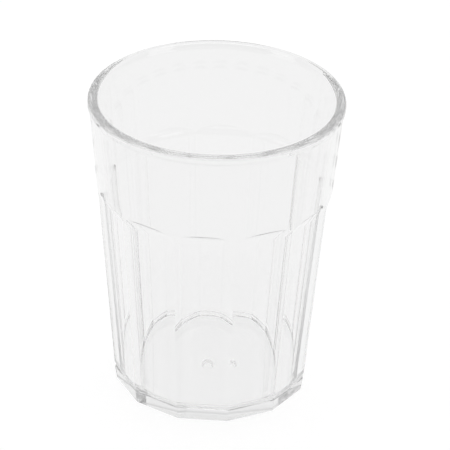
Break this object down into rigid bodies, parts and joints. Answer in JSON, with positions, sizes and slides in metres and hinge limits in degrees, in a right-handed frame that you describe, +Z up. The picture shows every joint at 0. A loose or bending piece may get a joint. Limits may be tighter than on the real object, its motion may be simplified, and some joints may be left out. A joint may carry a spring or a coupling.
{
  "type": "tumbler cup",
  "caption": "Clear plastic tumbler: a tapered round cup with flat arched panels around its lower wall, a groove above a polygonal foot, and a rounded rim.",
  "frame": {"origin": "centre of the resting face under the foot", "axes": "+Z up along the cup's axis; a flat panel faces -Y"},
  "size_m": [0.076, 0.076, 0.0946],
  "materials": {
    "clear_plastic": "polished clear"
  },
  "bodies": {
    "root": {"tumbler": "clear_plastic"}
  },
  "joints": []
}
